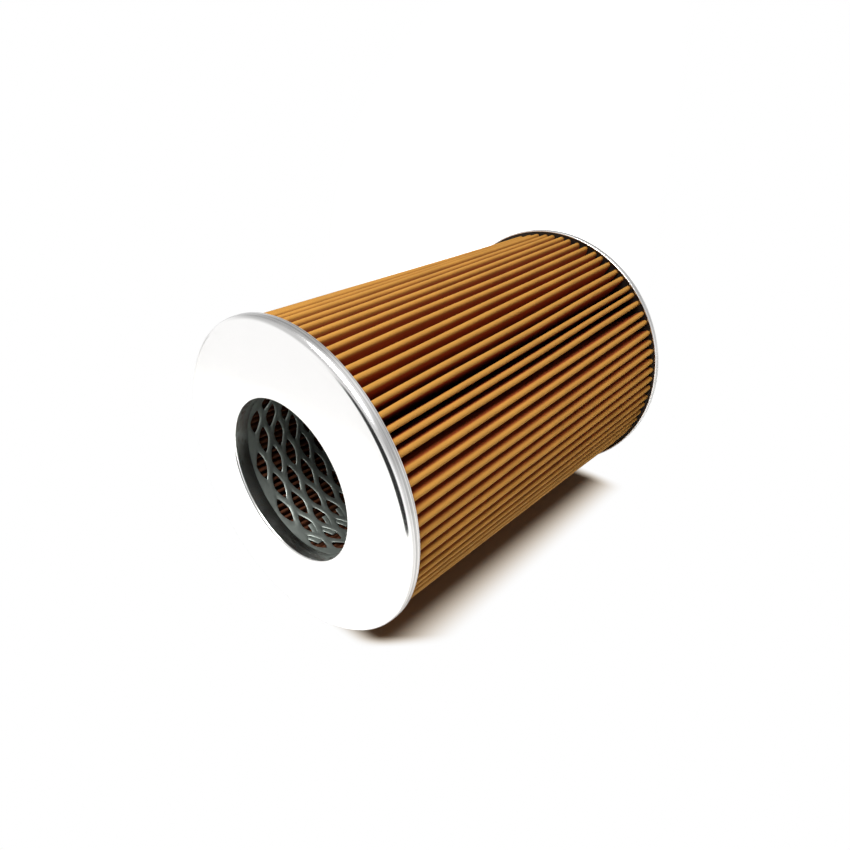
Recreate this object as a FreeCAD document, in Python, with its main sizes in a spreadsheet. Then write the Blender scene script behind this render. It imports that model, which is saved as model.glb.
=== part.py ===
# Pleated filter element for a hydraulic return line, in millimetres.
# It stands on one end cap: the axis is +Z, and the origin is the middle of the lower cap's outer face.
# The paper stands between two pressed end caps, glued into their channels, round a diamond mesh core.
import FreeCAD, Part
import Sketcher
import math
import os

from FreeCAD import Placement, Rotation, Vector

SIZES = {
    # whole element
    "element_length": 210.0,
    "cap_radius": 75.0,
    # pressed end caps, both alike
    "cap_sheet": 0.8,
    "rim_height": 5.5,
    "rim_bend_radius": 2.2,
    "bore_radius": 39.0,
    "collar_depth": 7.5,
    # adhesive that fills the channel of each cap
    "adhesive_depth": 2.7,
    # core tube, rolled from expanded steel sheet
    "core_sheet": 0.8,
    "core_clearance": 0.2,
    "diamond_count": 10,
    "row_count": 42,
    "diamond_pitch": 9.0,
    "diamond_length": 15.0,
    "diamond_height": 5.4,
    "seam_angle": 135.0,
    "seam_margin": 1.5,
    "seam_shift": 2.2,
    # pleated paper
    "pleat_count": 80,
    "pleat_tip_clearance": 1.4,
    "pleat_root_clearance": 0.2,
    "paper_thickness": 0.6,
    "tip_fold_radius": 1.3,
    "root_fold_radius": 0.8,
    "twist_angle": 8.2,
    # strip that clamps the two ends of the paper together
    "seam_gap": 0.1,
    "clip_angle": 90.0,
    "clip_sheet": 0.4,
    "clip_depth": 7.0,
    "clip_clearance": 0.05,
}

# straight pieces that stand for the round of a fold, on the outside and the inside of the bent paper
OUTER_FOLD_STEPS = 4
INNER_FOLD_STEPS = 2
# a skewed wall wider than this gets a point in its middle, which keeps it close to its true surface
WIDE_WALL = 5.0
AXIS = Vector(0, 0, 1)

doc = FreeCAD.newDocument("filter_element")
sheet = doc.addObject("Spreadsheet::Sheet", "Sizes")
for row, (name, value) in enumerate(SIZES.items(), start=1):
    sheet.set(f"A{row}", name)
    sheet.set(f"B{row}", str(value))
    sheet.setAlias(f"B{row}", name)
doc.recompute()


def size(name):
    """The number that the sheet holds under this alias."""
    return float(sheet.get(name))


class Length:
    """A size of the sheet, or a sum of them: its number, and the expression that gives it."""

    def __init__(self, value, text):
        self.value = value
        self.text = text

    def __add__(self, other):
        return Length(self.value + other.value, f"{self.text} + {other.text}")

    def __sub__(self, other):
        return Length(self.value - other.value, f"{self.text} - ({other.text})")


def length(name):
    return Length(size(name), f"Sizes.{name}")


ZERO = Length(0.0, "0")


# Revolved sub-parts


def bound(sketch, kind, places, wanted):
    """Add one distance or radius and tie it to the sheet."""
    index = sketch.addConstraint(Sketcher.Constraint(kind, *places, wanted.value))
    sketch.setExpression(f"Constraints[{index}]", wanted.text)


def revolved_body(name, corners):
    """A body turned round the axis. Each corner is (radius, height, bend): bend is the radius of an arc
    that runs from this corner to the next, with the sign of its turn, or None for a straight edge."""
    body = doc.addObject("PartDesign::Body", name)
    body.Label = name
    plane = [f for f in body.Origin.OriginFeatures if f.Role == "XZ_Plane"][0]
    sketch = body.newObject("Sketcher::SketchObject", f"{name}_profile")
    sketch.AttachmentSupport = [(plane, "")]
    sketch.MapMode = "FlatFace"
    points = [Vector(r.value, z.value, 0) for r, z, _ in corners]
    count = len(corners)
    ends = []
    for i, (_, _, bend) in enumerate(corners):
        here, there = points[i], points[(i + 1) % count]
        if bend is None:
            sketch.addGeometry(Part.LineSegment(here, there), False)
            ends.append((1, 2))
            continue
        turn, radius = bend
        chord = there - here
        side = Vector(-chord.y, chord.x, 0).normalize() * turn
        rise = radius.value - math.sqrt(radius.value**2 - chord.Length**2 / 4)
        middle = (here + there) * 0.5 - side * rise
        arc = Part.Arc(here, middle, there)
        index = sketch.addGeometry(arc, False)
        start = sketch.getPoint(index, 1)
        ends.append((1, 2) if start.distanceToPoint(here) < start.distanceToPoint(there) else (2, 1))
    for i in range(count):
        after = (i + 1) % count
        sketch.addConstraint(Sketcher.Constraint("Coincident", i, ends[i][1], after, ends[after][0]))
    for i, (r, z, bend) in enumerate(corners):
        bound(sketch, "DistanceX", (-1, 1, i, ends[i][0]), r)
        if z is ZERO:
            sketch.addConstraint(Sketcher.Constraint("PointOnObject", i, ends[i][0], -1))
        else:
            bound(sketch, "DistanceY", (-1, 1, i, ends[i][0]), z)
        if bend is not None:
            bound(sketch, "Radius", (i,), bend[1])
    revolution = body.newObject("PartDesign::Revolution", f"{name}_turned")
    revolution.Profile = sketch
    revolution.ReferenceAxis = (sketch, ["V_Axis"])
    revolution.Angle = 360.0
    sketch.Visibility = False
    return body


def turn_over(body):
    """Stand a body of the lower end upside down on the upper end."""
    body.Placement = Placement(Vector(0, 0, size("element_length")), Rotation(Vector(1, 0, 0), 180))
    body.setExpression(".Placement.Base.z", "Sizes.element_length")


def end_cap(name):
    """Pressed ring: a collar round the bore, a flat face, and a rim with a rounded corner."""
    gauge = length("cap_sheet")
    rim = length("cap_radius")
    bore = length("bore_radius")
    # the core stands on the face just outside the collar's bend, so that bend is as tight as its clearance
    collar_inside = length("core_clearance")
    collar_outside = collar_inside + gauge
    rim_inside = length("rim_bend_radius")
    rim_outside = rim_inside + gauge
    collar_top = length("collar_depth")
    rim_top = length("rim_height")
    return revolved_body(
        name,
        [
            (bore, collar_top, None),
            (bore, collar_outside, (1, collar_outside)),
            (bore + collar_outside, ZERO, None),
            (rim - rim_outside, ZERO, (1, rim_outside)),
            (rim, rim_outside, None),
            (rim, rim_top, None),
            (rim - gauge, rim_top, None),
            (rim - gauge, rim_outside, (-1, rim_inside)),
            (rim - rim_outside, gauge, None),
            (bore + collar_outside, gauge, (-1, collar_inside)),
            (bore + gauge, collar_outside, None),
            (bore + gauge, collar_top, None),
        ],
    )


def adhesive_ring(name, core_reach):
    """Adhesive cast into a cap's channel, from the core out to the rim."""
    gauge = length("cap_sheet")
    wall = length("cap_radius") - gauge
    bend = length("rim_bend_radius")
    top = gauge + length("adhesive_depth")
    inside = length("bore_radius") + gauge + length("core_clearance") + core_reach
    return revolved_body(
        name,
        [
            (inside, gauge, None),
            (wall - bend, gauge, (1, bend)),
            (wall, gauge + bend, None),
            (wall, top, None),
            (inside, top, None),
        ],
    )


# Sub-parts made of flat faces


def solid_of(faces):
    """One closed solid from the flat faces that bound it."""
    shell = Part.Compound(faces)
    shell.sewShape()
    solid = Part.Solid(shell.Shells[0])
    if solid.Volume < 0:
        solid.reverse()
    return solid


def flat_face(points):
    return Part.Face(Part.makePolygon(points + points[:1]))


def add_shape(name, shape):
    piece = doc.addObject("Part::Feature", name)
    piece.Label = name
    piece.Shape = shape
    piece.Placement = Placement()
    return piece


# Core tube


def facet_half_angle():
    return math.pi / (2 * size("diamond_count"))


def core_apothem():
    """From the axis to the inside of a facet's middle, just clear of the collar."""
    return size("bore_radius") + size("cap_sheet") + size("core_clearance")


def core_corner_radius(layers):
    """The core's outer reach at the edges between its facets, with this many layers of sheet."""
    return (core_apothem() + layers * size("core_sheet")) / math.cos(facet_half_angle())


def opening_heights(parity):
    """Middles of the openings on one edge of a facet: the rows alternate from edge to edge."""
    rows = int(size("row_count"))
    step = size("diamond_pitch") / 2
    first = (size("element_length") - step * (rows - 1)) / 2
    return [first + step * i for i in range(rows) if i % 2 == parity]


def facet_outline(half_width, outer_half_width, low, high, parity, shift):
    """Corners (across, height) of one facet of mesh: a strip whose two edges are notched by half diamonds.

    A notch has the diamond's full height on the outer face. Its walls stand square to the facet."""
    reach = size("diamond_length") / 2
    tall = size("diamond_height") / 2
    lost = outer_half_width - half_width
    mouth = tall * (reach - lost) / reach

    def edge(side, rows):
        corners = []
        for middle in rows:
            z = middle + shift
            if z - tall <= low or z + tall >= high:
                continue
            corners.append((side * half_width, z - mouth))
            corners.append((side * (outer_half_width - reach), z))
            corners.append((side * half_width, z + mouth))
        return corners

    left = edge(-1, opening_heights(1 - parity))
    right = edge(1, opening_heights(parity))
    bottom = [(half_width, low), (-half_width, low)]
    top = [(-half_width, high), (half_width, high)]
    return bottom[1:] + left + top + right[::-1] + bottom[:1]


def facet_frame(index):
    """Outward direction and sideways direction of a facet."""
    middle = (2 * index + 1) * facet_half_angle()
    outward = Vector(math.cos(middle), math.sin(middle), 0)
    sideways = Vector(-math.sin(middle), math.cos(middle), 0)
    return outward, sideways


def placed(corners, index, apothem):
    outward, sideways = facet_frame(index)
    return [outward * apothem + sideways * across + AXIS * z for across, z in corners]


def core_tube():
    """Tube of expanded sheet: a facet between each two columns of diamonds, and a lapped seam."""
    inner = core_apothem()
    outer = inner + size("core_sheet")
    spread = math.tan(facet_half_angle())
    low = size("cap_sheet")
    high = size("element_length") - size("cap_sheet")
    faces = []
    for index in range(2 * int(size("diamond_count"))):
        outlines = []
        for apothem in (inner, outer):
            outline = facet_outline(apothem * spread, outer * spread, low, high, index % 2, 0.0)
            outlines.append(placed(outline, index, apothem))
        inside, outside = outlines
        faces.append(flat_face(inside))
        faces.append(flat_face(outside))
        flat = facet_outline(outer * spread, outer * spread, low, high, index % 2, 0.0)
        count = len(flat)
        for i in range(count):
            after = (i + 1) % count
            on_edge = abs(flat[i][0] - flat[after][0]) < 1e-6
            if not on_edge:
                faces.append(flat_face([inside[i], inside[after], outside[after], outside[i]]))
    return solid_of(faces).fuse(core_seam(outer, spread)).removeSplitter()


def core_seam(outer, spread):
    """Second layer where the ends of the rolled sheet lap and are welded; its diamonds sit a little off."""
    index = int(math.radians(size("seam_angle")) / (2 * facet_half_angle()))
    half = outer * spread
    low = size("cap_sheet") + size("adhesive_depth") + size("seam_margin")
    high = size("element_length") - low
    corners = facet_outline(half, half, low, high, index % 2, size("seam_shift"))
    outward, _ = facet_frame(index)
    return flat_face(placed(corners, index, outer)).extrude(outward * size("core_sheet"))


# Pleated paper and its clip


def polar(radius, across, angle):
    """A point of the section, out along a direction and then across it."""
    x = radius * math.cos(angle) - across * math.sin(angle)
    y = radius * math.sin(angle) + across * math.cos(angle)
    return (x, y)


def fold(centre, radius, angle, outward, steps):
    """Half a turn of paper round a fold line, from its one side to its other."""
    points = []
    for i in range(steps + 1):
        turn = math.pi * (i / steps - 0.5)
        points.append(polar(centre + outward * radius * math.cos(turn), radius * math.sin(turn), angle))
    return points


def turned(point, angle, height):
    x, y = point
    cos, sin = math.cos(angle), math.sin(angle)
    return Vector(x * cos - y * sin, x * sin + y * cos, height)


def skewed_prism(section, low, high):
    """A section carried from one height to the other while it turns by the pleats' twist.

    Every fold stays a straight line. A narrow wall is two flat triangles, split the same way in every
    wall, and a wide one is four about its middle."""
    twist = math.radians(size("twist_angle"))
    below = [turned(p, 0.0, low) for p in section]
    above = [turned(p, -twist, high) for p in section]
    faces = [flat_face(below), flat_face(above)]
    count = len(section)
    for i in range(count):
        j = (i + 1) % count
        if math.hypot(*section[i]) < math.hypot(*section[j]):
            i, j = j, i
        if math.dist(section[i], section[j]) > WIDE_WALL:
            corners = [below[i], below[j], above[j], above[i]]
            middle = (below[i] + below[j] + above[j] + above[i]) * 0.25
            for k in range(4):
                faces.append(flat_face([corners[k - 1], corners[k], middle]))
        else:
            faces.append(flat_face([below[i], below[j], above[j]]))
            faces.append(flat_face([below[i], above[j], above[i]]))
    return solid_of(faces)


def pleat_root_radius():
    """Where the inner folds end, clear of the core and its seam all along their skew lines."""
    waist = math.cos(math.radians(size("twist_angle")) / 2)
    return (core_corner_radius(2) + size("pleat_root_clearance")) / waist


def pleat_tip_radius():
    """The outer folds' reach, short of the caps' rims."""
    return size("cap_radius") - size("cap_sheet") - size("pleat_tip_clearance")


def leg_end_radius():
    """Where the two free ends of the paper stop, under the clip."""
    return pleat_tip_radius() - size("clip_sheet") - size("clip_clearance")


def paper_section():
    """The sheet seen from its end: out along one side from the seam and back along the other."""
    paper = size("paper_thickness")
    tip = size("tip_fold_radius")
    root = size("root_fold_radius")
    tip_centre = pleat_tip_radius() - tip
    root_centre = pleat_root_radius() + root
    leg = leg_end_radius()
    knee = leg - size("clip_depth")
    inner_side = size("seam_gap") / 2
    outer_side = inner_side + paper
    count = int(size("pleat_count"))
    pitch = 2 * math.pi / count
    first = math.radians(size("clip_angle"))
    outside = [polar(leg, outer_side, first), polar(knee, outer_side, first)]
    inside = [polar(leg, inner_side, first), polar(knee, inner_side, first)]
    for index in range(count):
        angle = first + index * pitch
        if index:
            outside += fold(tip_centre, tip, angle, 1, OUTER_FOLD_STEPS)
            inside += fold(tip_centre, tip - paper, angle, 1, INNER_FOLD_STEPS)
        outside += fold(root_centre, root - paper, angle + pitch / 2, -1, INNER_FOLD_STEPS)
        inside += fold(root_centre, root, angle + pitch / 2, -1, OUTER_FOLD_STEPS)
    outside += [polar(knee, -outer_side, first), polar(leg, -outer_side, first)]
    inside += [polar(knee, -inner_side, first), polar(leg, -inner_side, first)]
    return outside + inside[::-1]


def clip_section():
    """A strip folded over the two free ends of the paper."""
    gauge = size("clip_sheet")
    slot = size("seam_gap") / 2 + size("paper_thickness") + size("clip_clearance")
    half = slot + gauge
    crown = leg_end_radius() + size("clip_clearance")
    foot = leg_end_radius() - size("clip_depth")
    angle = math.radians(size("clip_angle"))
    corners = [
        (foot, half),
        (crown, half),
        (crown + gauge, slot),
        (crown + gauge, -slot),
        (crown, -half),
        (foot, -half),
        (foot, -slot),
        (crown, -slot),
        (crown, slot),
        (foot, slot),
    ]
    return [polar(radius, across, angle) for radius, across in corners]


# The document


core_reach = Length(
    core_corner_radius(1) - core_apothem() + size("core_clearance"),
    "(Sizes.bore_radius + Sizes.cap_sheet + Sizes.core_clearance + Sizes.core_sheet)"
    " / cos(90deg / Sizes.diamond_count)"
    " - (Sizes.bore_radius + Sizes.cap_sheet + Sizes.core_clearance) + Sizes.core_clearance",
)
paper_low = size("cap_sheet") + size("adhesive_depth")
paper_high = size("element_length") - paper_low

bottom_end_cap = end_cap("bottom_end_cap")
top_end_cap = end_cap("top_end_cap")
turn_over(top_end_cap)
bottom_adhesive = adhesive_ring("bottom_adhesive", core_reach)
top_adhesive = adhesive_ring("top_adhesive", core_reach)
turn_over(top_adhesive)
core = add_shape("core_tube", core_tube())
paper = add_shape("pleated_paper", skewed_prism(paper_section(), paper_low, paper_high))
clip = add_shape("paper_seam_clip", skewed_prism(clip_section(), paper_low, paper_high))

doc.recompute()

sub_parts = [bottom_end_cap, top_end_cap, bottom_adhesive, top_adhesive, core, paper, clip]
for item in doc.Objects:
    if "Invalid" in item.State or "Error" in item.State:
        raise RuntimeError(f"{item.Label} did not recompute")
for item in sub_parts:
    shape = item.Shape
    if shape.isNull() or not shape.isValid() or not shape.Solids:
        raise RuntimeError(f"{item.Label} has no valid solid")

os.makedirs("parts", exist_ok=True)
for item in sub_parts:
    item.Shape.exportStep(f"parts/{item.Label}.step")
    print(f"{item.Label}: {len(item.Shape.Solids)} solid, {len(item.Shape.Faces)} faces,"
          f" {item.Shape.Volume:.0f} mm3")
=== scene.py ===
import math

import bpy
import numpy as np
from mathutils import Matrix, Vector


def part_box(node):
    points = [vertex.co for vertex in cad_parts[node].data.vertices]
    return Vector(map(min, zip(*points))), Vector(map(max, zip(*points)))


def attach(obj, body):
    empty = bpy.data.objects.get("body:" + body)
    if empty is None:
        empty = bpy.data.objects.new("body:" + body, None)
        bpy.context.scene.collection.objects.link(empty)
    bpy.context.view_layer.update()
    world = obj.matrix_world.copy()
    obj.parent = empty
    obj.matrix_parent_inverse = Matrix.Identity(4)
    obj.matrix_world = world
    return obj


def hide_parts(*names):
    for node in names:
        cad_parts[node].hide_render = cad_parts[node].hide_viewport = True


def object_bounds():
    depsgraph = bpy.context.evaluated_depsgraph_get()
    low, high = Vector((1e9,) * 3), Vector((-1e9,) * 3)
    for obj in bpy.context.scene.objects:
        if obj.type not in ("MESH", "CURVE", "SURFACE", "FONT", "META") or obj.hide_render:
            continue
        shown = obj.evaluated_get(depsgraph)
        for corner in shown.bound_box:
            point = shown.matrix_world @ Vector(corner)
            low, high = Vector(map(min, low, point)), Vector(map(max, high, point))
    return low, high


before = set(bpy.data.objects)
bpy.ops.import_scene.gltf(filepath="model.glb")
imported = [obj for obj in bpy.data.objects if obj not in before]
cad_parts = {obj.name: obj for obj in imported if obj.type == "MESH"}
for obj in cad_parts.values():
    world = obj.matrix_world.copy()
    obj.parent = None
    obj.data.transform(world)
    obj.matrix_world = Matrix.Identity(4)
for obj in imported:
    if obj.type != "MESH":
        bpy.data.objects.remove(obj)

bl_info = {
    "name": "Pleated filter element",
    "version": (1, 0, 0),
    "blender": (4, 5, 0),
    "location": "View3D > Sidebar > Filter",
    "description": "Finishes a packed pleated filter element: caps, paper, core, adhesive and studio",
    "category": "Object",
}

MM = 0.001
CAD_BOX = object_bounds()
ELEMENT_LENGTH = CAD_BOX[1].z
CAP_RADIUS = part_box("bottom_end_cap")[1].x
CAP_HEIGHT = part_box("bottom_end_cap")[1].z
PAPER_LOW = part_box("pleated_paper")[0].z
PAPER_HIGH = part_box("pleated_paper")[1].z
CORE_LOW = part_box("core_tube")[0].z
CORE_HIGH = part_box("core_tube")[1].z


def linear(code):
    """The linear colour of an sRGB hex value."""
    parts = [int(code[i:i + 2], 16) / 255 for i in (0, 2, 4)]
    return tuple(p / 12.92 if p <= 0.04045 else ((p + 0.055) / 1.055) ** 2.4 for p in parts)


def length(name, value, about):
    """A size in metres, given in millimetres."""
    return bpy.props.FloatProperty(name=name, description=about, default=value * MM, unit="LENGTH",
                                   precision=5)


def colour(name, code, about):
    return bpy.props.FloatVectorProperty(name=name, description=about, default=linear(code),
                                         size=3, min=0.0, max=1.0, subtype="COLOR")


# What a user would change


class CapSettings(bpy.types.PropertyGroup):
    sheet: length("Sheet", 0.8, "Thickness of the pressed sheet")
    bore: length("Bore radius", 39.0, "Inside of the collar")
    collar_bend: length("Collar bend", 1.0, "Outer radius of the bend between face and collar")
    rim_bend: length("Rim bend", 3.0, "Outer radius of the bend between face and rim")
    rim_height: length("Rim height", 5.5, "Height of the rim from the face")
    metal: colour("Tinplate", "FCFBFA", "Bright tin on drawn steel")


class PaperSettings(bpy.types.PropertyGroup):
    pleats: bpy.props.IntProperty(name="Pleats", description="Folds round the element", default=80,
                                  min=20)
    tip_radius: length("Tip radius", 72.8, "From the axis to the outside of a fold")
    root_radius: length("Root radius", 42.4, "From the axis to the inner folds")
    thickness: length("Paper", 0.6, "Thickness of the treated paper")
    tip_fold: length("Outer fold", 1.3, "Outside radius of the paper at a tip")
    root_fold: length("Inner fold", 0.8, "Outside radius of the paper at a root")
    twist: bpy.props.FloatProperty(name="Twist", description="Turn of the pleats from end to end",
                                   default=math.radians(8.2), subtype="ANGLE")
    seam_angle: bpy.props.FloatProperty(name="Seam", description="Direction of the paper's seam",
                                        default=math.radians(90.0), subtype="ANGLE")
    clip_depth: length("Clip depth", 7.0, "Reach of the clip down the two ends of the paper")
    unevenness: bpy.props.FloatProperty(name="Unevenness", description="Spread of the pleats' spacing",
                                        default=0.07, min=0.0, max=0.2, subtype="FACTOR")
    # folds is the paper's own colour; walls and roots are painted shade, darker and redder down the
    # pleats' valleys
    folds: colour("Folds", "B98439", "Treated paper on the outer folds, rubbed and faded")
    walls: colour("Walls", "A34B1E", "Treated paper down the pleats' walls, red with resin")
    roots: colour("Roots", "502912", "Treated paper near the inner folds, where resin has pooled")
    soaked: colour("Soaked ends", "24130B", "Paper that has drawn up adhesive beside the caps")
    soaked_height: length("Soaked height", 3.6, "How far from the element's ends the adhesive has risen")
    fibre_shade: bpy.props.FloatProperty(name="Fibre shade", default=0.2, min=0.0, max=1.0,
                                         description="How much darker the resin spots are",
                                         subtype="FACTOR")
    # painted shade: how far down from a fold the paper keeps its own colour before the darker walls
    # colour
    unshaded_depth: length("Faded depth", 3.2, "How far down from a fold the faded colour reaches")


class CoreSettings(bpy.types.PropertyGroup):
    inner_radius: length("Inner radius", 40.15, "Inside of the tube")
    sheet: length("Sheet", 0.8, "Thickness of the expanded sheet")
    columns: bpy.props.IntProperty(name="Columns", default=20,
                                   description="Columns of openings round the tube, both rows")
    rows: bpy.props.IntProperty(name="Rows", description="Rows of openings up the tube", default=42)
    pitch: length("Pitch", 9.0, "Height from an opening to the next one above it")
    opening_width: length("Opening width", 14.3, "Long way of a diamond")
    opening_height: length("Opening height", 5.3, "Short way of a diamond")
    seam_column: bpy.props.IntProperty(name="Seam", description="Column where the sheet laps", default=7)
    seam_shift: length("Seam shift", 2.2, "How far the two layers of the seam are out of step")
    metal: colour("Zinc", "969D97", "Bright zinc on expanded steel")


class StudioSettings(bpy.types.PropertyGroup):
    lamp_power: bpy.props.FloatProperty(name="Softbox", description="Power of the lamp", default=14.2,
                                        unit="POWER")
    ambient: bpy.props.FloatProperty(name="Ambient", description="Light of the room on matt things",
                                     default=0.2)
    walls: bpy.props.FloatProperty(name="Walls", description="How light metal shows the room's walls",
                                   default=0.5)
    # painted light: the paper sheets glow this share of white for matt things, though they are no lamp
    painted_sheet_glow: bpy.props.FloatProperty(name="Under light", default=0.15,
                                         description="Light that shaded paper still gives matt things")
    # painted shadow: where the lamp's shadow falls the eye sees the paper in this brown grey, not in its
    # own white
    shade: colour("Shade", "94806A", "The paper roll as its shadow shows it")
    floor: colour("Floor", "F4F4F2", "Matt white paper roll")
    adhesive: colour("Adhesive", "100D0B", "Cast dark epoxy")
    clip: colour("Clip", "D5D3CC", "Folded tinplate strip")


GROUPS = (("filter_cap", CapSettings), ("filter_paper", PaperSettings), ("filter_core", CoreSettings),
          ("filter_studio", StudioSettings))


# Materials


def add(tree, kind, inputs=None, **settings):
    """A shader node with its settings, and a value or a link for each socket that is named."""
    made = tree.nodes.new(kind)
    for name, value in settings.items():
        setattr(made, name, value)
    for name, value in (inputs or {}).items():
        if isinstance(value, bpy.types.NodeSocket):
            tree.links.new(value, made.inputs[name])
        else:
            made.inputs[name].default_value = value
    return made


def new_material(name):
    """An empty material, with its tree and its output."""
    material = bpy.data.materials.new(name)
    material.use_nodes = True
    tree = material.node_tree
    tree.nodes.clear()
    return material, tree, add(tree, "ShaderNodeOutputMaterial")


def pressed_tinplate(name, tin, line_spacing, dull):
    """Tin-coated steel sheet, deep drawn: bright and smooth, with fine rings left by the drawing tool.

    Each ring keeps its radius and height, so the noise is read from those two and wanders a little."""
    material, tree, out = new_material(name)
    place = add(tree, "ShaderNodeTexCoord").outputs["Object"]
    split = add(tree, "ShaderNodeSeparateXYZ", {0: place})
    flat = add(tree, "ShaderNodeCombineXYZ", {"X": split.outputs["X"], "Y": split.outputs["Y"]})
    radius = add(tree, "ShaderNodeVectorMath", {0: flat.outputs[0]}, operation="LENGTH")
    wander = add(tree, "ShaderNodeTexNoise", {"Vector": place, "Scale": 1 / (60 * MM), "Detail": 2.0})
    drift = add(tree, "ShaderNodeMath", {0: wander.outputs["Fac"], 1: 2.5 * MM}, operation="MULTIPLY")
    ring = add(tree, "ShaderNodeCombineXYZ", {"X": radius.outputs["Value"], "Y": split.outputs["Z"],
                                              "Z": drift.outputs[0]})
    lines = add(tree, "ShaderNodeTexNoise", {"Vector": ring.outputs[0], "Scale": 1 / line_spacing,
                                             "Detail": 4.0, "Roughness": 0.6})
    smear = add(tree, "ShaderNodeTexNoise", {"Vector": place, "Scale": 1 / (14 * MM), "Detail": 3.0})
    mixed = add(tree, "ShaderNodeMath", {0: lines.outputs["Fac"], 1: smear.outputs["Fac"]},
                operation="MULTIPLY")
    # the side of the rim went through the die, so there the tin is thin and scoured in streaks
    scoured = add(tree, "ShaderNodeMapRange", {"Value": radius.outputs["Value"],
                                               "From Min": CAP_RADIUS - 0.7 * MM,
                                               "From Max": CAP_RADIUS - 0.1 * MM})
    base = add(tree, "ShaderNodeMath", {0: scoured.outputs[0], 1: 0.14, 2: dull},
               operation="MULTIPLY_ADD")
    rough = add(tree, "ShaderNodeMath", {0: mixed.outputs[0], 1: 0.45, 2: base.outputs[0]},
                operation="MULTIPLY_ADD")
    streaks = add(tree, "ShaderNodeMapRange", {"Value": lines.outputs["Fac"], "From Min": 0.42,
                                               "From Max": 0.58, "To Min": 0.25, "To Max": 1.0})
    thin = add(tree, "ShaderNodeMath", {0: scoured.outputs[0], 1: streaks.outputs[0]},
               operation="MULTIPLY")
    worn_tin = [c * 0.5 for c in tin]
    tone = add(tree, "ShaderNodeMix", {0: thin.outputs[0], 6: (*tin, 1), 7: (*worn_tin, 1)},
               data_type="RGBA")
    bump = add(tree, "ShaderNodeBump", {"Height": lines.outputs["Fac"], "Strength": 0.2,
                                        "Distance": 0.07 * MM})
    shader = add(tree, "ShaderNodeBsdfPrincipled", {"Base Color": tone.outputs[2], "Metallic": 1.0,
                                                    "Roughness": rough.outputs[0],
                                                    "Normal": bump.outputs[0]})
    tree.links.new(shader.outputs[0], out.inputs["Surface"])
    return material


def resin_treated_paper(settings):
    """Cellulose filter paper soaked in phenolic resin and cured: matt, warm brown, with short felted
    fibres of about 0.4 mm and clouds of 15 mm where the resin lies thicker."""
    material, tree, out = new_material("resin_treated_paper")
    place = add(tree, "ShaderNodeTexCoord").outputs["Object"]
    clouds = add(tree, "ShaderNodeTexNoise", {"Vector": place, "Scale": 1 / (15 * MM), "Detail": 3.0})
    # fibres lie along the machine direction, which runs round the element and so down the pleats' walls
    felt = add(tree, "ShaderNodeMapping", {"Vector": place, "Scale": (1.0, 1.0, 1.8)})
    fibres = add(tree, "ShaderNodeTexNoise", {"Vector": felt.outputs[0], "Scale": 1 / (0.45 * MM),
                                              "Detail": 3.0, "Roughness": 0.7})
    shade = add(tree, "ShaderNodeMath", {0: fibres.outputs["Fac"], 1: 0.55}, operation="MULTIPLY")
    both = add(tree, "ShaderNodeMath", {0: clouds.outputs["Fac"], 1: 0.45, 2: shade.outputs[0]},
               operation="MULTIPLY_ADD")
    spread = add(tree, "ShaderNodeMapRange", {"Value": both.outputs[0], "From Min": 0.35,
                                              "From Max": 0.65, "To Min": 1.0 - settings.fibre_shade,
                                              "To Max": 1.0})
    split = add(tree, "ShaderNodeSeparateXYZ", {0: place})
    flat = add(tree, "ShaderNodeCombineXYZ", {"X": split.outputs["X"], "Y": split.outputs["Y"]})
    radius = add(tree, "ShaderNodeVectorMath", {0: flat.outputs[0]}, operation="LENGTH")
    # painted shade: below the folds the paper darkens into the redder walls colour
    unshaded = add(tree, "ShaderNodeMapRange", {"Value": radius.outputs["Value"],
                                             "From Min": settings.tip_radius - settings.unshaded_depth,
                                             "From Max": settings.tip_radius - 0.4 * MM},
                interpolation_type="SMOOTHSTEP")
    plain = add(tree, "ShaderNodeMix", {0: unshaded.outputs[0], 6: (*settings.walls, 1),
                                        7: (*settings.folds, 1)}, data_type="RGBA")
    # painted shade: near the inner folds the paper darkens further into the roots colour
    root_shade = add(tree, "ShaderNodeMapRange", {"Value": radius.outputs["Value"],
                                              "From Min": settings.root_radius + 5.0 * MM,
                                              "From Max": settings.root_radius + 18.0 * MM})
    down = add(tree, "ShaderNodeMix", {0: root_shade.outputs[0], 6: (*settings.roots, 1),
                                       7: plain.outputs[2]}, data_type="RGBA")
    off_middle = add(tree, "ShaderNodeMath", {0: split.outputs["Z"], 1: ELEMENT_LENGTH / 2},
                     operation="SUBTRACT")
    off = add(tree, "ShaderNodeMath", {0: off_middle.outputs[0]}, operation="ABSOLUTE")
    soaked_from = ELEMENT_LENGTH / 2 - settings.soaked_height
    risen = add(tree, "ShaderNodeMapRange", {"Value": off.outputs[0], "From Min": soaked_from,
                                             "From Max": soaked_from + 1.0 * MM},
                interpolation_type="SMOOTHSTEP")
    ends = add(tree, "ShaderNodeMix", {0: risen.outputs[0], 6: down.outputs[2],
                                       7: (*settings.soaked, 1)}, data_type="RGBA")
    tint = add(tree, "ShaderNodeVectorMath", {0: ends.outputs[2], "Scale": spread.outputs[0]},
               operation="SCALE")
    bump = add(tree, "ShaderNodeBump", {"Height": fibres.outputs["Fac"], "Strength": 0.35,
                                        "Distance": 0.12 * MM})
    shader = add(tree, "ShaderNodeBsdfPrincipled", {"Base Color": tint.outputs[0], "Roughness": 0.82,
                                                    "IOR": 1.5, "Specular IOR Level": 0.25,
                                                    "Normal": bump.outputs[0]})
    tree.links.new(shader.outputs[0], out.inputs["Surface"])
    return material


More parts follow.
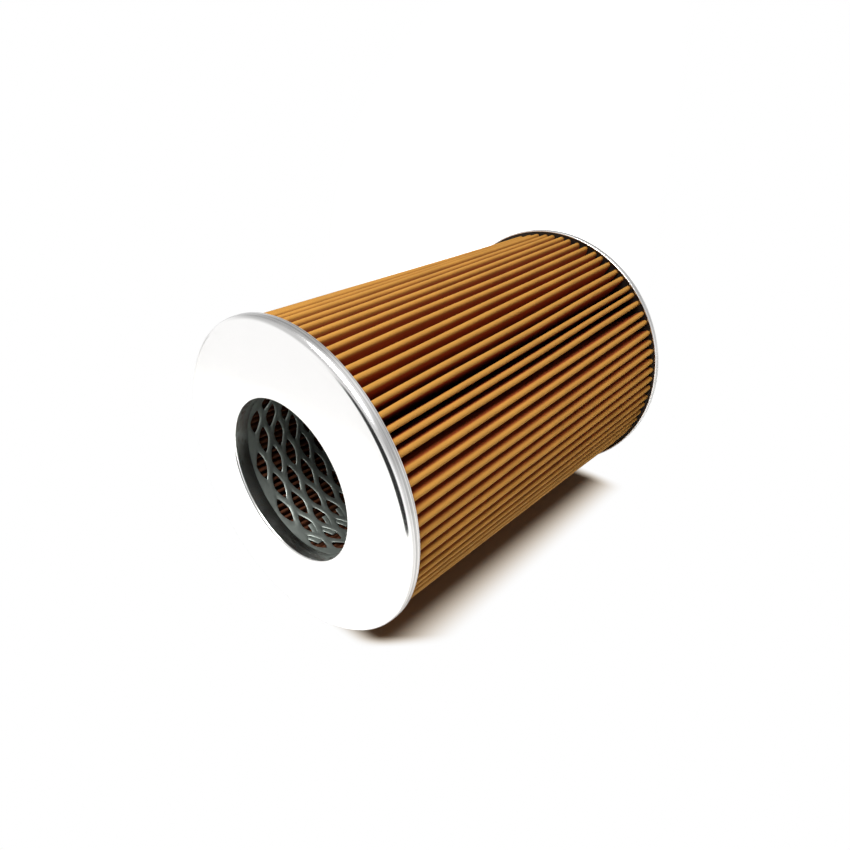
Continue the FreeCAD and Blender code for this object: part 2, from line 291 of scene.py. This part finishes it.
def zinc_plated_mesh(settings):
    """Expanded steel sheet, rolled into a tube and zinc plated: a soft grey shine on the strands, with
    small dull patches of 3 mm."""
    material, tree, out = new_material("zinc_plated_mesh")
    place = add(tree, "ShaderNodeTexCoord").outputs["Object"]
    patches = add(tree, "ShaderNodeTexNoise", {"Vector": place, "Scale": 1 / (3 * MM), "Detail": 4.0})
    rough = add(tree, "ShaderNodeMapRange", {"Value": patches.outputs["Fac"], "From Min": 0.3,
                                             "From Max": 0.7, "To Min": 0.3, "To Max": 0.5})
    bump = add(tree, "ShaderNodeBump", {"Height": patches.outputs["Fac"], "Strength": 0.3,
                                        "Distance": 0.1 * MM})
    # a skin of zinc oxide makes part of the surface matt
    shader = add(tree, "ShaderNodeBsdfPrincipled", {"Base Color": (*settings.metal, 1), "Metallic": 0.75,
                                                    "Roughness": rough.outputs[0],
                                                    "Normal": bump.outputs[0]})
    tree.links.new(shader.outputs[0], out.inputs["Surface"])
    return material


def cast_epoxy(tone):
    """Two-part epoxy poured into the cap and cured: dark, faintly glossy, with a lightly rippled
    skin."""
    material, tree, out = new_material("cast_epoxy")
    place = add(tree, "ShaderNodeTexCoord").outputs["Object"]
    skin = add(tree, "ShaderNodeTexNoise", {"Vector": place, "Scale": 1 / (4 * MM), "Detail": 2.0})
    rough = add(tree, "ShaderNodeMapRange", {"Value": skin.outputs["Fac"], "To Min": 0.35,
                                             "To Max": 0.6})
    bump = add(tree, "ShaderNodeBump", {"Height": skin.outputs["Fac"], "Strength": 0.4,
                                        "Distance": 0.3 * MM})
    shader = add(tree, "ShaderNodeBsdfPrincipled", {"Base Color": (*tone, 1), "IOR": 1.55,
                                                    "Roughness": rough.outputs[0],
                                                    "Normal": bump.outputs[0]})
    tree.links.new(shader.outputs[0], out.inputs["Surface"])
    return material


# Meshes


def make_piece(name, points, faces, material, node, sharp_from):
    """A mesh object that stands for a CAD node, smooth but for edges sharper than sharp_from."""
    mesh = bpy.data.meshes.new(name)
    mesh.from_pydata([tuple(p) for p in points], [], faces)
    mesh.materials.append(material)
    mesh.shade_smooth()
    mesh.set_sharp_from_angle(angle=math.radians(sharp_from))
    piece = bpy.data.objects.new(name, mesh)
    bpy.context.scene.collection.objects.link(piece)
    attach(piece, "root")
    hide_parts(node)
    return piece


def merged(points, faces):
    """The same mesh with points of one place made one, and faces that fell flat left out."""
    keys = {}
    index = []
    kept = []
    for p in points:
        key = tuple(round(c * 1e7) for c in p)
        if key not in keys:
            keys[key] = len(kept)
            kept.append(p)
        index.append(keys[key])
    clean = []
    for face in faces:
        corners = []
        for i in face:
            if index[i] not in corners:
                corners.append(index[i])
        if len(corners) > 2:
            clean.append(corners)
    return kept, clean


def bands(count_across, count_along, close_across, close_along, start=0):
    """Four-sided faces between rows of points that are numbered along first."""
    faces = []
    for a in range(count_across if close_across else count_across - 1):
        for b in range(count_along if close_along else count_along - 1):
            a2, b2 = (a + 1) % count_across, (b + 1) % count_along
            faces.append((start + a * count_along + b, start + a2 * count_along + b,
                          start + a2 * count_along + b2, start + a * count_along + b2))
    return faces


def bend(centre, radius, first, last, steps):
    """Points (radius, height) of an arc, angles in degrees."""
    turns = [math.radians(first + (last - first) * i / steps) for i in range(steps + 1)]
    return [(centre[0] + radius * math.cos(t), centre[1] + radius * math.sin(t)) for t in turns]


def cap_profile(cap):
    """The sheet of the lower cap in section, as (radius, height), once round from the collar's end."""
    sheet, bore, tight = cap.sheet, cap.bore, cap.collar_bend
    edge, worn = 0.18 * MM, 0.5 * MM
    face_in, face_out = bore + tight, CAP_RADIUS - cap.rim_bend
    wall_in = CAP_RADIUS - sheet
    profile = bend((bore + edge, CAP_HEIGHT - edge), edge, 90, 180, 3)
    profile += bend((face_in, tight), tight, 180, 270, 6)
    profile += [(face_in + (face_out - face_in) * i / 6, 0.0) for i in range(1, 6)]
    profile += bend((face_out, cap.rim_bend), cap.rim_bend, 270, 360, 12)
    profile += bend((CAP_RADIUS - worn, cap.rim_height - worn), worn, 0, 90, 5)
    profile += bend((wall_in + edge, cap.rim_height - edge), edge, 90, 180, 3)
    profile += bend((face_out, cap.rim_bend), cap.rim_bend - sheet, 360, 270, 8)
    profile += bend((face_in, tight), max(tight - sheet, 0.05 * MM), 270, 180, 3)
    profile += bend((bore + sheet - edge, CAP_HEIGHT - edge), edge, 0, 90, 3)
    return profile


def cap_points(profile, around, upper, draws):
    """The profile turned round the axis. The cut edge of the rim isn't quite level, as after trimming."""
    waves = [(k, draws.uniform(0, 2 * math.pi)) for k in (2, 3, 5)]
    trim = 0.12 * MM
    points = []
    for r, z in profile:
        for j in range(around):
            turn = 2 * math.pi * j / around
            lift = sum(math.cos(k * turn + phase) for k, phase in waves) / 3
            low = z - trim * (1 + lift) / 2 * (z > 4 * MM and r > 60 * MM)
            height = ELEMENT_LENGTH - low if upper else low
            points.append((r * math.cos(turn), r * math.sin(turn), height))
    return points


def paper_sheet(paper, draws, levels):
    """The folded sheet: for each height the section's outer and inner side, as points."""
    count = paper.pleats
    pitch = 2 * math.pi / count
    tip_centre = paper.tip_radius - paper.tip_fold
    root_centre = paper.root_radius + paper.root_fold
    leg_end = paper.tip_radius - 0.45 * MM
    tip_steps, root_steps, wall_steps = 8, 4, 3
    # each pleat leans and stands a little differently, but those beside the seam's clip stay in place
    free = np.array([0.0, 0.4] + [1.0] * (count - 3) + [0.4, 0.0])
    lean = [np.append(draws.normal(0, paper.unevenness * pitch, count), 0.0) * free for _ in range(2)]
    lean[1] = 0.65 * lean[0] + 0.45 * lean[1]
    short = np.append(draws.uniform(0.0, 0.45 * MM, count), 0.0) * free
    bow = draws.normal(0, 0.12 * MM / paper.tip_radius, (3, count))
    bow = np.append(bow, np.zeros((3, 1)), axis=1) * free

    rows = []
    for level in range(levels):
        t = level / (levels - 1)
        # a fold is a straight line between its two ends, so half way up it lies nearer to the axis
        corner = (1 - t) + t * complex(math.cos(paper.twist), -math.sin(paper.twist))
        waist, turn = abs(corner), math.atan2(corner.imag, corner.real)
        sway = lean[0] * (1 - t) + lean[1] * t
        for k in range(3):
            sway = sway + bow[k] * math.sin((k + 1) * math.pi * t)
        outer, inner = [], []

        def place(radius, across, angle):
            cos, sin = math.cos(angle + turn), math.sin(angle + turn)
            return (waist * (radius * cos - across * sin), waist * (radius * sin + across * cos))

        def fold(centre, side, radii, angle, steps):
            for i in range(steps + 1):
                a = math.pi * (i / steps - 0.5)
                for row, r in zip((outer, inner), radii):
                    row.append(place(centre + side * r * math.cos(a), r * math.sin(a), angle))

        def wall(start_angle, start, end_angle, end):
            """Points part of the way down a wall, between two (radius, across on each side) places."""
            for i in range(1, wall_steps + 1):
                f = i / (wall_steps + 1)
                for row, k in ((outer, 1), (inner, 2)):
                    a = place(start[0], start[k], start_angle)
                    b = place(end[0], end[k], end_angle)
                    row.append((a[0] + (b[0] - a[0]) * f, a[1] + (b[1] - a[1]) * f))

        tip_radii = (paper.tip_fold, paper.tip_fold - paper.thickness)
        root_radii = (paper.root_fold - paper.thickness, paper.root_fold)
        near, far = 0.05 * MM, 0.05 * MM + paper.thickness
        for index in range(count):
            angle = paper.seam_angle + index * pitch + sway[index]
            after = paper.seam_angle + (index + 1) * pitch + sway[index + 1]
            middle = (angle + after) / 2
            if index == 0:
                for r in (leg_end, leg_end - paper.clip_depth):
                    outer.append(place(r, far, angle))
                    inner.append(place(r, near, angle))
                down = (leg_end - paper.clip_depth, far, near)
            else:
                fold(tip_centre - short[index], 1, tip_radii, angle, tip_steps)
                down = (tip_centre - short[index], *tip_radii)
            wall(angle, down, middle, (root_centre, -root_radii[0], -root_radii[1]))
            fold(root_centre, -1, root_radii, middle, root_steps)
            if index == count - 1:
                up = (leg_end - paper.clip_depth, -far, -near)
            else:
                up = (tip_centre - short[index + 1], -tip_radii[0], -tip_radii[1])
            wall(middle, (root_centre, *root_radii), after, up)
        for r in (leg_end - paper.clip_depth, leg_end):
            outer.append(place(r, -far, paper.seam_angle))
            inner.append(place(r, -near, paper.seam_angle))
        z = PAPER_LOW + (PAPER_HIGH - PAPER_LOW) * t
        rows.append([(x, y, z) for x, y in outer + inner[::-1]])
    return rows


def core_place(turn, height, radius):
    """A place on the tube."""
    return (radius * math.cos(turn), radius * math.sin(turn), height)


def diamond_rings(core, part):
    """Rings of a tile of the mesh, from its outer border over the opening's edge to its inner border.

    A tile is a diamond round one opening. A ring is a list of (across, height) and a depth: across runs
    to 1 at the next column, height to 1 half way to the next row, depth from 0 outside to 1 inside."""
    step = 2 * math.pi / core.columns
    reach = core.opening_width / 2 / ((core.inner_radius + core.sheet / 2) * step)
    tall = core.opening_height / core.pitch
    soft = 0.32 * MM
    soft_reach = soft * 1.6 / ((core.inner_radius + core.sheet / 2) * step)
    soft_tall = soft / (core.pitch / 2)
    border = []
    steps = 5
    corners = ((0, -1), (1, 0), (0, 1), (-1, 0))
    for a, b in zip(corners, corners[1:] + corners[:1]):
        border += [(a[0] + (b[0] - a[0]) * i / steps, a[1] + (b[1] - a[1]) * i / steps)
                   for i in range(steps)]
    if part != "whole":
        side = 1 if part == "right" else -1
        turn = border if side > 0 else [(-x, y) for x, y in border]
        border = turn[:2 * steps + 1]
        if side < 0:
            border = border[::-1]

    def rounded(ratio):
        """A cosine or sine, bent so that the opening lies between an ellipse (1) and a diamond (2)."""
        return math.copysign(abs(ratio) ** 1.42, ratio) if abs(ratio) > 1e-9 else 0.0

    def opening(soft_share):
        ring = []
        for x, y in border:
            a = math.atan2(y, x)
            ring.append(((reach + soft_reach * soft_share) * rounded(math.cos(a)),
                         (tall + soft_tall * soft_share) * rounded(math.sin(a))))
        return ring

    wide, near, mouth = opening(1.0), opening(0.3), opening(0.0)
    # a strand is highest along its middle
    sunk, edge = 0.12, 0.28
    return [(border, 0.0), (wide, sunk), (near, edge), (mouth, 0.5), (near, 1 - edge), (wide, 1 - sunk),
            (border, 1.0)]


def diamond_tile(core, points, faces, column, row_height, inner, part="whole"):
    """Adds a tile of the mesh, or the half of one that is right or left of its column."""
    step = 2 * math.pi / core.columns
    rings = diamond_rings(core, part)
    count = len(rings[0][0])
    start = len(points)
    for ring, depth in rings:
        radius = inner + core.sheet * (1 - depth)
        for x, y in ring:
            points.append(core_place(column * step + x * step, row_height + y * core.pitch / 2, radius))
    faces += bands(len(rings), count, False, part == "whole", start)
    if part != "whole":
        first = [start + k * count for k in range(len(rings))]
        last = [start + k * count + count - 1 for k in range(len(rings))]
        faces += [first, last[::-1]]


def core_mesh(core):
    """Points and faces of the whole tube: tiles, plain borders at both ends, and the seam's second
    layer."""
    points, faces = [], []
    step = 2 * math.pi / core.columns
    half = core.pitch / 2
    first = (ELEMENT_LENGTH - half * (core.rows - 1)) / 2
    heights = [first + half * i for i in range(core.rows)]
    for column in range(core.columns):
        for i, height in enumerate(heights):
            if (i + column) % 2 == 1:
                diamond_tile(core, points, faces, column, height, core.inner_radius)
    outside = core.inner_radius + core.sheet
    for end, row, sign in ((CORE_LOW, 0, -1), (CORE_HIGH, core.rows - 1, 1)):
        lines = 5 * core.columns
        start = len(points)
        for radius in (outside, core.inner_radius):
            for at_end in (False, True):
                for j in range(lines):
                    column, part = j // 5, (j % 5) / 5

                    def corner(c):
                        nearest = row if (row + c) % 2 == 1 else row - sign
                        return heights[nearest] + sign * half

                    zigzag = corner(column) * (1 - part) + corner(column + 1) * part
                    points.append(core_place(column * step + part * step,
                                             end if at_end else zigzag, radius))
        for a, b in ((0, 1), (1, 3), (3, 2)):
            for j in range(lines):
                k = (j + 1) % lines
                faces.append((start + a * lines + j, start + b * lines + j,
                              start + b * lines + k, start + a * lines + k))
    margin = 5.0 * MM
    for column, part in ((core.seam_column, "right"), (core.seam_column + 1, "left")):
        for i, height in enumerate(heights):
            z = height + core.seam_shift
            if (i + column) % 2 == 1 and margin < z - half and z + half < ELEMENT_LENGTH - margin:
                diamond_tile(core, points, faces, column, z, outside + 0.02 * MM, part)
    return merged(points, faces)


# Operators


class FILTER_OT_end_caps(bpy.types.Operator):
    """Two drawn end caps"""
    bl_idname = "filter.end_caps"
    bl_label = "End caps"

    def execute(self, context):
        cap = context.scene.filter_cap
        metal = pressed_tinplate("pressed_tinplate", cap.metal, 0.7 * MM, 0.06)
        profile = cap_profile(cap)
        around = 256
        draws = np.random.default_rng(11)
        for name, upper in (("bottom_end_cap", False), ("top_end_cap", True)):
            points = cap_points(profile, around, upper, draws)
            faces = bands(len(profile), around, True, True)
            if not upper:
                faces = [face[::-1] for face in faces]
            make_piece(f"{name}_finished", points, faces, metal, name, 40)
        return {"FINISHED"}


class FILTER_OT_paper(bpy.types.Operator):
    """The folded paper"""
    bl_idname = "filter.paper"
    bl_label = "Pleated paper"

    def execute(self, context):
        paper = context.scene.filter_paper
        rows = paper_sheet(paper, np.random.default_rng(5), 17)
        count = len(rows[0])
        points = [p for row in rows for p in row]
        faces = [face[::-1] for face in bands(len(rows), count, False, True)]
        side = count // 2
        last = (len(rows) - 1) * count
        for i in range(side - 1):
            ends = (i, i + 1, count - 2 - i, count - 1 - i)
            faces.append(ends[::-1])
            faces.append(tuple(last + k for k in ends))
        make_piece("folded_paper", points, faces, resin_treated_paper(paper),
                   "pleated_paper", 50)
        return {"FINISHED"}


class FILTER_OT_core(bpy.types.Operator):
    """The tube of expanded sheet"""
    bl_idname = "filter.core"
    bl_label = "Core tube"

    def execute(self, context):
        core = context.scene.filter_core
        points, faces = core_mesh(core)
        make_piece("mesh_core", points, faces, zinc_plated_mesh(core), "core_tube", 60)
        return {"FINISHED"}


class FILTER_OT_joints(bpy.types.Operator):
    """Finishes of the adhesive and the clip, whose CAD shapes stay"""
    bl_idname = "filter.joints"
    bl_label = "Adhesive and clip"

    def execute(self, context):
        studio = context.scene.filter_studio
        epoxy = cast_epoxy(studio.adhesive)
        strip = pressed_tinplate("folded_tinplate_strip", studio.clip, 0.5 * MM, 0.2)
        for node, material in (("bottom_adhesive", epoxy), ("top_adhesive", epoxy),
                               ("paper_seam_clip", strip)):
            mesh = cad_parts[node].data
            mesh.materials.clear()
            mesh.materials.append(material)
        return {"FINISHED"}


# The photograph shows the element lying on its side. Here it stands, so the white paper under it, the
# room and the lamp are turned with it: up from that paper, and from the element to the camera's side.
LYING_UP = Vector((math.cos(math.radians(-37.2)), math.sin(math.radians(-37.2)), 0.0))
ALONG = Vector((0.0, 0.0, 1.0))
CAMERA_SIDE = LYING_UP.cross(ALONG)
MIDDLE = ALONG * (ELEMENT_LENGTH / 2)


def lying(up, side, along):
    """A place or direction given in the lying element's own terms."""
    return LYING_UP * up + CAMERA_SIDE * side + ALONG * along


def add_sheet(name, centre, across, along, material):
    """A flat stage sheet: its front is the side that across x along points to."""
    corners = [centre - across - along, centre + across - along, centre + across + along,
               centre - across + along]
    mesh = bpy.data.meshes.new(name)
    mesh.from_pydata([tuple(c) for c in corners], [], [(0, 1, 2, 3)])
    mesh.materials.append(material)
    sheet = bpy.data.objects.new(name, mesh)
    bpy.context.scene.collection.objects.link(sheet)


def eye_rays(tree, path):
    """1 for rays from the eye and through glass, and 0 for the rest."""
    return add(tree, "ShaderNodeMath", {0: path.outputs["Is Camera Ray"],
                                        1: path.outputs["Is Transmission Ray"]},
               operation="MAXIMUM").outputs[0]


def white_paper_roll(name, studio, shade, bounce, near, far, ramps, mirrored):
    """Matt white paper. The eye sees the lamp's shadow on it in the colour shade, a painted shadow tone
    in place of the paper's white, which from near to far from the element turns into the white
    background.

    Each ramp is a direction with the distances along it where the white begins and where it is full; the
    fade and the ramps paint where the shadow ends. The roll shows in metal if it is mirrored; else metal
    shows the room's painted reflection there, but for the patch under the bore. The part of the light
    that it sends back to matt things is bounce, and for matt things it also glows, painted light from no
    lamp."""
    material, tree, out = new_material(name)
    path = add(tree, "ShaderNodeLightPath")
    eye = eye_rays(tree, path)
    # painted shadow: the eye sees the matt paper in the colour shade instead of the paper's white
    plain = add(tree, "ShaderNodeMix", {0: eye, 6: (*[c * bounce for c in studio.floor], 1),
                                        7: (*shade, 1)}, data_type="RGBA")
    tint = add(tree, "ShaderNodeMix", {0: path.outputs["Is Glossy Ray"], 6: plain.outputs[2],
                                       7: (*studio.floor, 1)}, data_type="RGBA")
    matt = add(tree, "ShaderNodeBsdfDiffuse", {"Color": tint.outputs[2]})
    place = add(tree, "ShaderNodeNewGeometry")
    off = add(tree, "ShaderNodeVectorMath", {0: place.outputs["Position"], 1: MIDDLE},
              operation="DISTANCE")
    fade = add(tree, "ShaderNodeMapRange", {"Value": off.outputs["Value"], "From Min": near,
                                            "From Max": far, "To Min": 1.0, "To Max": 0.0},
               interpolation_type="SMOOTHSTEP")
    # what is left of the lamp's shadow, from 1 near the element to 0: the fade and the ramps paint where
    # the shadow ends
    left = fade.outputs[0]
    for toward, begins, full in ramps:
        along = add(tree, "ShaderNodeVectorMath", {0: place.outputs["Position"], 1: toward},
                    operation="DOT_PRODUCT")
        ramp = add(tree, "ShaderNodeMapRange", {"Value": along.outputs["Value"], "From Min": begins,
                                                "From Max": full, "To Min": 1.0, "To Max": 0.0},
                   interpolation_type="SMOOTHSTEP")
        left = add(tree, "ShaderNodeMath", {0: left, 1: ramp.outputs[0]},
                   operation="MULTIPLY").outputs[0]
    whole = add(tree, "ShaderNodeMath", {0: 1.0, 1: left}, operation="SUBTRACT").outputs[0]
    seen = add(tree, "ShaderNodeMath", {0: whole, 1: eye}, operation="MULTIPLY")
    # painted light: for matt things the sheet also glows with this share of white, though it is no lamp,
    # which keeps the element's shaded side from going black
    part = add(tree, "ShaderNodeMath", {0: path.outputs["Is Diffuse Ray"], 1: studio.painted_sheet_glow,
                                        2: seen.outputs[0]}, operation="MULTIPLY_ADD")
    # painted light: a warm tint on the white at the shadow's soft edge stands in for light from the brown
    # paper
    painted_warm_tint = add(tree, "ShaderNodeMix", {0: whole, 6: (1.15, 1.0, 0.8, 1), 7: (1, 1, 1, 1)},
               data_type="RGBA")
    white = add(tree, "ShaderNodeEmission", {"Color": painted_warm_tint.outputs[2], "Strength": 1.0})
    front = add(tree, "ShaderNodeMixShader", {0: part.outputs[0], 1: matt.outputs[0],
                                              2: white.outputs[0]})
    clear = add(tree, "ShaderNodeBsdfTransparent")
    unseen = place.outputs["Backfacing"]
    # painted reflection: glossy rays pass through this sheet to the room's pattern, but for a patch under
    # the bore
    if not mirrored:
        patch = math.hypot(ELEMENT_LENGTH / 2, 60 * MM)
        outside = add(tree, "ShaderNodeMath", {0: off.outputs["Value"], 1: patch},
                      operation="GREATER_THAN")
        through = add(tree, "ShaderNodeMath", {0: outside.outputs[0], 1: path.outputs["Is Glossy Ray"]},
                      operation="MULTIPLY")
        unseen = add(tree, "ShaderNodeMath", {0: unseen, 1: through.outputs[0]},
                     operation="MAXIMUM").outputs[0]
    mix = add(tree, "ShaderNodeMixShader", {0: unseen, 1: front.outputs[0], 2: clear.outputs[0]})
    tree.links.new(mix.outputs[0], out.inputs["Surface"])
    return material


def studio_room(studio):
    """The room: white to the eye, soft and plain as a light. Glossy reflections, as in metal, alone see a
    painted reflection in it: white near the paper's plane and in the ceiling over the far end, grey
    higher up, and dark in the gap past the paper's front edge, which draws a dark line on the near cap's
    corner."""
    world = bpy.data.worlds.new("studio_room")
    bpy.context.scene.world = world
    world.use_nodes = True
    tree = world.node_tree
    tree.nodes.clear()
    toward = add(tree, "ShaderNodeTexCoord").outputs["Generated"]
    height = add(tree, "ShaderNodeVectorMath", {0: toward, 1: LYING_UP}, operation="DOT_PRODUCT")
    split = add(tree, "ShaderNodeSeparateXYZ", {0: toward})
    front = add(tree, "ShaderNodeMapRange", {"Value": split.outputs["Z"], "From Min": 0.1,
                                             "From Max": 0.5, "To Min": studio.walls, "To Max": 0.6},
                interpolation_type="SMOOTHSTEP")
    # painted reflection: a bright patch over the far end that only glossy reflections see
    over = add(tree, "ShaderNodeVectorMath", {0: toward, 1: lying(0.78, 0.25, -0.57)},
               operation="DOT_PRODUCT")
    ceiling = add(tree, "ShaderNodeMapRange", {"Value": over.outputs["Value"],
                                               "From Min": math.cos(math.radians(30.0)),
                                               "From Max": math.cos(math.radians(16.0))},
                  interpolation_type="SMOOTHSTEP")
    upper = add(tree, "ShaderNodeMath", {0: front.outputs[0], 1: ceiling.outputs[0]},
                operation="MAXIMUM")
    walls = add(tree, "ShaderNodeMapRange", {"Value": height.outputs["Value"], "From Min": 0.0,
                                             "From Max": 0.45, "To Min": 1.0, "To Max": upper.outputs[0]},
                interpolation_type="SMOOTHSTEP")
    # painted reflection: a dark patch that only glossy reflections see, which draws a dark line on the
    # near cap's corner
    facing = add(tree, "ShaderNodeVectorMath", {0: toward, 1: lying(-0.35, 0.04, 0.936)},
                 operation="DOT_PRODUCT")
    gap = add(tree, "ShaderNodeMapRange", {"Value": facing.outputs["Value"],
                                           "From Min": math.cos(math.radians(37.0)),
                                           "From Max": math.cos(math.radians(31.0)),
                                           "To Min": 1.0, "To Max": 0.03},
              interpolation_type="SMOOTHSTEP")
    metal = add(tree, "ShaderNodeMath", {0: walls.outputs[0], 1: gap.outputs[0]}, operation="MULTIPLY")
    path = add(tree, "ShaderNodeLightPath")
    bounced = add(tree, "ShaderNodeMix", {0: path.outputs["Is Glossy Ray"], 2: studio.ambient,
                                          3: metal.outputs[0]}, data_type="FLOAT")
    strength = add(tree, "ShaderNodeMix", {0: eye_rays(tree, path), 2: bounced.outputs[0], 3: 1.0},
                   data_type="FLOAT")
    back = add(tree, "ShaderNodeBackground", {"Color": (1, 1, 1, 1),
                                              "Strength": strength.outputs[0]})
    out = add(tree, "ShaderNodeOutputWorld")
    tree.links.new(back.outputs[0], out.inputs["Surface"])


def add_softbox(place, target, power, along, across):
    """A rectangular lamp that faces target, with its sides along the element's axis and across it."""
    light = bpy.data.lights.new("softbox", "AREA")
    light.shape = "RECTANGLE"
    light.energy = power
    light.size, light.size_y = across, along
    lamp = bpy.data.objects.new("softbox", light)
    back = (place - target).normalized()
    side = ALONG.cross(back).normalized()
    lamp.matrix_world = (Matrix.Translation(place)
                         @ Matrix((side, back.cross(side), back)).transposed().to_4x4())
    bpy.context.scene.collection.objects.link(lamp)


class FILTER_OT_studio(bpy.types.Operator):
    """Camera, white paper, room and softbox"""
    bl_idname = "filter.studio"
    bl_label = "Studio"

    def execute(self, context):
        studio = context.scene.filter_studio
        scene = context.scene
        scene.view_settings.view_transform = "Standard"

        eye = bpy.data.cameras.new("camera")
        eye.sensor_width, eye.lens = 36.0, 28.48
        eye.clip_start, eye.clip_end = 0.01, 20.0
        camera = bpy.data.objects.new("camera", eye)
        # the place and turn that put the caps, the bore and the pleats where the photograph has them
        right = Vector((-0.44997, -0.59205, -0.66859))
        up = Vector((0.89269, -0.27712, -0.35540))
        turn = Matrix((right, up, right.cross(up))).transposed().to_4x4()
        camera.matrix_world = Matrix.Translation((0.002553, -0.267417, 0.353831)) @ turn
        scene.collection.objects.link(camera)
        scene.camera = camera

        gap = 0.2 * MM
        # painted shadow outline: past these ramps, at fixed distances, the paper turns white whatever the
        # lamp's shadow
        under = ((CAMERA_SIDE, 0.042, 0.069), (CAMERA_SIDE, 0.0, -0.03), (ALONG, 0.196, 0.208),
                 (ALONG, 0.012, 0.0), (CAMERA_SIDE + ALONG, 0.237, 0.248))
        beside = ((CAMERA_SIDE, 0.0, 0.06), (-LYING_UP, 0.0, 0.06))
        # painted shadow: a colour above white shows the shadow on the sheet under the standing element
        # fainter than a white sheet could
        faint_shade = (1.8, 1.8, 1.8)
        add_sheet("paper_lying", lying(-CAP_RADIUS - gap, 0.0, 0.01), ALONG * 0.33, CAMERA_SIDE * 0.9,
                  white_paper_roll("white_paper_roll_lying", studio, studio.shade, 1.0, 0.2, 0.36,
                                   under, True))
        add_sheet("paper_standing", Vector((0, 0, -gap)), Vector((1.5, 0, 0)), Vector((0, 1.5, 0)),
                  white_paper_roll("white_paper_roll", studio, faint_shade, 0.15, 0.135, 0.24,
                                   beside, False))

        studio_room(studio)
        add_softbox(MIDDLE + lying(0.87, 0.14, 0.44), MIDDLE, studio.lamp_power, 0.5, 0.7)
        return {"FINISHED"}


class FILTER_PT_panel(bpy.types.Panel):
    """Steps that finish the element"""
    bl_idname = "FILTER_PT_panel"
    bl_label = "Filter element"
    bl_space_type = "VIEW_3D"
    bl_region_type = "UI"
    bl_category = "Filter"

    def draw(self, context):
        for step in STEPS:
            self.layout.operator(step.bl_idname)
        for name, group in GROUPS:
            box = self.layout.box()
            for field in group.__annotations__:
                box.prop(getattr(context.scene, name), field)


STEPS = (FILTER_OT_end_caps, FILTER_OT_paper, FILTER_OT_core, FILTER_OT_joints, FILTER_OT_studio)


def register():
    for name, group in GROUPS:
        bpy.utils.register_class(group)
        setattr(bpy.types.Scene, name, bpy.props.PointerProperty(type=group))
    for made in STEPS + (FILTER_PT_panel,):
        bpy.utils.register_class(made)


def unregister():
    for made in (FILTER_PT_panel,) + STEPS[::-1]:
        bpy.utils.unregister_class(made)
    for name, group in GROUPS[::-1]:
        delattr(bpy.types.Scene, name)
        bpy.utils.unregister_class(group)


def main():
    register()
    bpy.ops.filter.end_caps()
    bpy.ops.filter.paper()
    bpy.ops.filter.core()
    bpy.ops.filter.joints()
    bpy.ops.filter.studio()
    bpy.context.view_layer.update()


if __name__ == "__main__":
    main()
